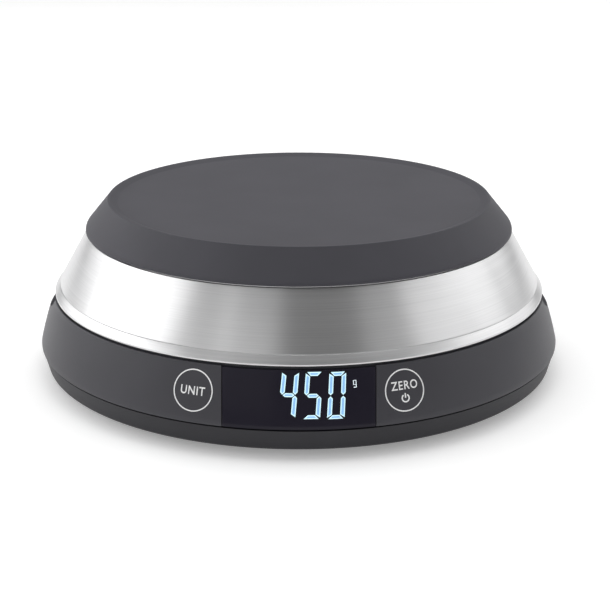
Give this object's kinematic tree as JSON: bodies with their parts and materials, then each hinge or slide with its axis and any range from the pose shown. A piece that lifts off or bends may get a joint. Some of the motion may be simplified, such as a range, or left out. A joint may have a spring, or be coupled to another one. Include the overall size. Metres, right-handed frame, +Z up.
{
  "type": "kitchen scale",
  "caption": "Round digital kitchen scale: conical base with a black display window and touch keys, and a steel weighing bowl with a silicone base turned upside down on top.",
  "frame": {"origin": "on the table, under the middle of the round base", "axes": "+Z up, -Y towards the user and the display, +X to the user's right"},
  "size_m": [0.2398, 0.2398, 0.0789],
  "materials": {
    "brushed_steel": "fine circular satin grain",
    "silicone": "matte, slightly dusty soft touch",
    "housing_plastic": "fine matte moulded texture",
    "tray_plastic": "fine matte moulded texture",
    "window_acrylic": "polished smoked",
    "display_plastic": "satin",
    "white_plastic": "matte",
    "circuit_board": "solder mask",
    "chip_resin": "matte resin",
    "copper": "plain",
    "bar_aluminium": "milled",
    "screw_steel": "zinc plated",
    "plated_steel": "stamped and plated",
    "foot_rubber": "matte",
    "cell_wrap": "printed foil wrap, left plain",
    "red_wire": "wire jacket",
    "black_wire": "wire jacket"
  },
  "bodies": {
    "base": {"bottom_tray": "tray_plastic", "upper_housing": "housing_plastic", "display_window": "window_acrylic", "display_module": "display_plastic", "display_board": "circuit_board", "unit_touch_electrode": "copper", "zero_touch_electrode": "copper", "main_board": "circuit_board", "controller_chip": "chip_resin", "main_board_screw_1": "screw_steel", "main_board_screw_2": "screw_steel", "display_ribbon": "white_plastic", "battery_lead_red": "red_wire", "battery_lead_black": "black_wire", "load_cell_cable": "white_plastic", "load_cell": "bar_aluminium", "load_cell_base_spacer": "plated_steel", "load_cell_base_screw_1": "screw_steel", "load_cell_base_screw_2": "screw_steel", "strain_gauge_cover_upper": "white_plastic", "strain_gauge_cover_lower": "white_plastic", "battery_cell_1": "cell_wrap", "battery_cell_2": "cell_wrap", "battery_cell_3": "cell_wrap", "battery_cell_4": "cell_wrap", "battery_contact_front_1": "plated_steel", "battery_contact_front_2": "plated_steel", "battery_contact_front_3": "plated_steel", "battery_contact_back_1": "plated_steel", "battery_contact_back_2": "plated_steel", "housing_screw_1": "screw_steel", "housing_screw_2": "screw_steel", "housing_screw_3": "screw_steel", "housing_screw_4": "screw_steel", "rubber_foot_1": "foot_rubber", "rubber_foot_2": "foot_rubber", "rubber_foot_3": "foot_rubber", "rubber_foot_4": "foot_rubber"},
    "platform": {"weighing_platform": "housing_plastic", "load_spreader": "plated_steel", "load_cell_top_spacer": "plated_steel", "load_cell_top_screw_1": "screw_steel", "load_cell_top_screw_2": "screw_steel", "platform_screw_1": "screw_steel", "platform_screw_2": "screw_steel", "platform_screw_3": "screw_steel", "platform_screw_4": "screw_steel"},
    "bowl": {"steel_bowl": "brushed_steel", "silicone_base": "silicone"},
    "battery_lid": {"battery_door": "tray_plastic"}
  },
  "joints": [
    {"name": "platform_travel", "type": "slide", "parent": "base", "child": "platform", "axis": [0, 0, 1], "range_m": [-0.0008, 0], "stiffness_N_per_m": 120000, "springref_m": 0.00015, "deforming": ["load_cell"]},
    {"name": "bowl_lift", "type": "slide", "parent": "platform", "child": "bowl", "axis": [0, 0, 1], "range_m": [0, 0.12]},
    {"name": "battery_lid_hinge", "type": "hinge", "parent": "base", "child": "battery_lid", "pos_m": [0, 0.0258, 0.0039], "axis": [-1, 0, 0], "range_deg": [0, 95]}
  ]
}
